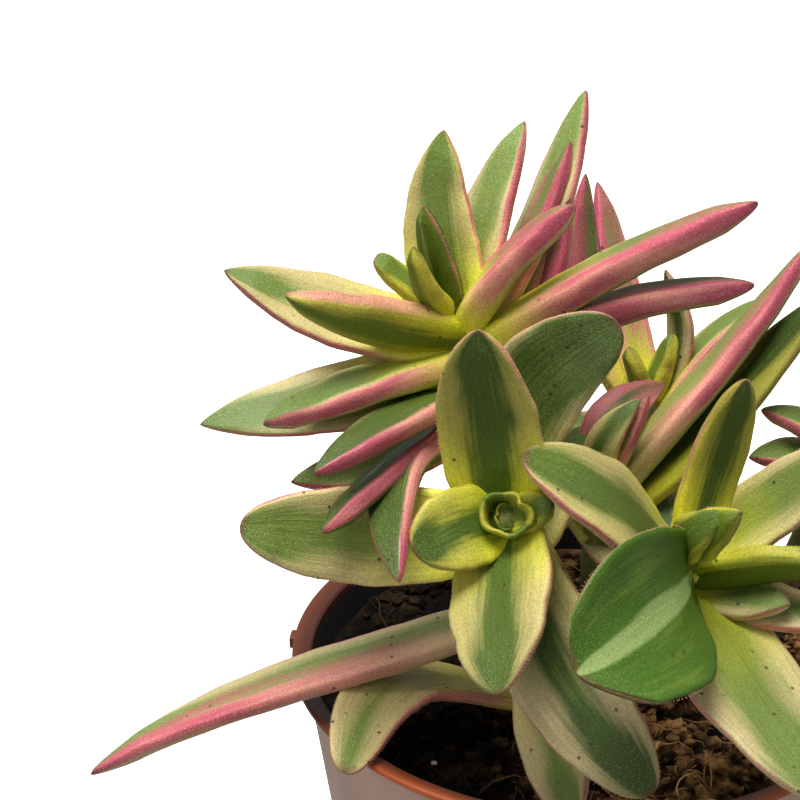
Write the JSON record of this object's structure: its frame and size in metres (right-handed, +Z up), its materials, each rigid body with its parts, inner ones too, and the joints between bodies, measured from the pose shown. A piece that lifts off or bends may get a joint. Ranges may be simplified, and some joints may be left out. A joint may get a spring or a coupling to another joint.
{
  "type": "potted campfire crassula",
  "caption": "Variegated campfire crassula with thick opposite pointed leaves on short branching stems, growing in soil in a round tapered nursery pot with a rolled lip.",
  "frame": {"origin": "centre of the pot's foot, on the surface that the pot stands on", "axes": "+Z up; the picture was taken from -Y, so +X is to its right"},
  "size_m": [0.16, 0.1316, 0.1933],
  "materials": {
    "leaf": "smooth waxy leaf skin, satin",
    "stem": "satin green stem",
    "pot": "thin moulded plastic, satin",
    "soil": "loose dark peat and coir, matt"
  },
  "bodies": {
    "root": {"leaf_a1": "leaf", "leaf_a10": "leaf", "leaf_a11": "leaf", "leaf_a12": "leaf", "leaf_a15": "leaf", "leaf_a16": "leaf", "leaf_a17": "leaf", "leaf_a18": "leaf", "leaf_a19": "leaf", "leaf_a2": "leaf", "leaf_a20": "leaf", "leaf_a3": "leaf", "leaf_a4": "leaf", "leaf_a5": "leaf", "leaf_a8": "leaf", "leaf_a9": "leaf", "leaf_b1": "leaf", "leaf_b10": "leaf", "leaf_b11": "leaf", "leaf_b12": "leaf", "leaf_b2": "leaf", "leaf_b3": "leaf", "leaf_b6": "leaf", "leaf_b7": "leaf", "leaf_b8": "leaf", "leaf_c1": "leaf", "leaf_c10": "leaf", "leaf_c2": "leaf", "leaf_c3": "leaf", "leaf_c4": "leaf", "leaf_c7": "leaf", "leaf_c8": "leaf", "leaf_c9": "leaf", "leaf_d1": "leaf", "leaf_d2": "leaf", "leaf_d3": "leaf", "leaf_d4": "leaf", "leaf_d5": "leaf", "leaf_f1": "leaf", "leaf_f2": "leaf", "leaf_f3": "leaf", "leaf_g1": "leaf", "leaf_g2": "leaf", "leaf_g3": "leaf", "leaf_g4": "leaf", "leaf_g5": "leaf", "leaf_h1": "leaf", "leaf_h2": "leaf", "leaf_h3": "leaf", "leaf_h4": "leaf", "pot": "pot", "soil": "soil", "stem_back": "stem", "stem_far_right": "stem", "stem_front": "stem", "stem_left": "stem", "stem_middle": "stem", "stem_rear": "stem", "stem_right": "stem"}
  },
  "joints": []
}
